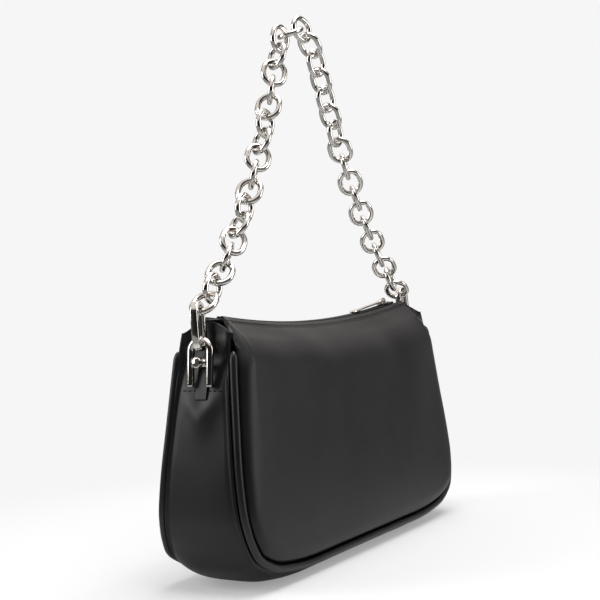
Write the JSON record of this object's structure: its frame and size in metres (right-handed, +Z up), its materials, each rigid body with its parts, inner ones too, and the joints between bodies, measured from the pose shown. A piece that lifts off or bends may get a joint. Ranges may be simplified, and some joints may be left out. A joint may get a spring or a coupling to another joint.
{
  "type": "shoulder bag",
  "caption": "Small zip-top shoulder bag of smooth black leather with piped edges, a wide gusset and a raised bright chain strap hung from arches on both ends.",
  "frame": {"origin": "centre of the bag's bounding box at floor level, under the bag", "axes": "+Z up, along the raised strap; X along the bag's length, the pictured end at -X; Y through the bag's depth, the pictured panel facing -Y"},
  "size_m": [0.2866, 0.076, 0.3563],
  "materials": {
    "black_leather": "smooth, soft satin",
    "black_fabric": "woven, matte",
    "zip_nylon": "moulded, faintly glossy",
    "stiffener": "matte sheet",
    "bright_metal": "polished"
  },
  "bodies": {
    "bag": {"back_panel": "black_leather", "base_board": "stiffener", "front_panel": "black_leather", "gusset": "black_leather", "left_anchor_tab": "black_leather", "left_arch": "bright_metal", "left_stud": "bright_metal", "lining": "black_fabric", "piping_back": "black_leather", "piping_front": "black_leather", "right_anchor_tab": "black_leather", "right_arch": "bright_metal", "right_stud": "bright_metal", "zip_coil_back": "zip_nylon", "zip_coil_front": "zip_nylon", "zip_end_tab_left": "black_leather", "zip_end_tab_right": "black_leather", "zip_tape_back": "black_fabric", "zip_tape_front": "black_fabric"},
    "strap": {"left_connector": "bright_metal", "chain_link_01": "bright_metal", "chain_link_02": "bright_metal", "chain_link_03": "bright_metal", "chain_link_04": "bright_metal", "chain_link_05": "bright_metal", "chain_link_06": "bright_metal", "chain_link_07": "bright_metal", "chain_link_08": "bright_metal", "chain_link_09": "bright_metal", "chain_link_10": "bright_metal", "chain_link_11": "bright_metal", "chain_link_12": "bright_metal", "chain_link_13": "bright_metal", "chain_link_14": "bright_metal", "chain_link_15": "bright_metal", "chain_link_16": "bright_metal", "chain_link_17": "bright_metal", "chain_link_18": "bright_metal", "chain_link_19": "bright_metal", "chain_link_20": "bright_metal", "chain_link_21": "bright_metal", "chain_link_22": "bright_metal", "chain_link_23": "bright_metal", "chain_link_24": "bright_metal", "chain_link_25": "bright_metal", "chain_link_26": "bright_metal", "chain_link_27": "bright_metal", "chain_link_28": "bright_metal", "chain_link_29": "bright_metal", "chain_link_30": "bright_metal", "chain_link_31": "bright_metal", "chain_link_32": "bright_metal", "chain_link_33": "bright_metal", "chain_link_34": "bright_metal", "chain_link_35": "bright_metal", "chain_link_36": "bright_metal", "right_connector": "bright_metal"},
    "slider": {"zip_slider": "bright_metal"},
    "pull": {"zip_pull": "bright_metal"}
  },
  "joints": [
    {"name": "strap_swing", "type": "hinge", "parent": "bag", "child": "strap", "pos_m": [0, 0, 0.1401], "axis": [1, 0, 0], "range_deg": [-42, 42]},
    {"name": "zip_slide", "type": "hinge", "parent": "bag", "child": "slider", "pos_m": [0, 0, 0.95498], "axis": [0, 1, 0], "range_deg": [0, 11.4]},
    {"name": "zip_pull_lift", "type": "hinge", "parent": "slider", "child": "pull", "pos_m": [0.09955, 0, 0.16021], "axis": [0, 1, 0], "range_deg": [0, 65]}
  ]
}
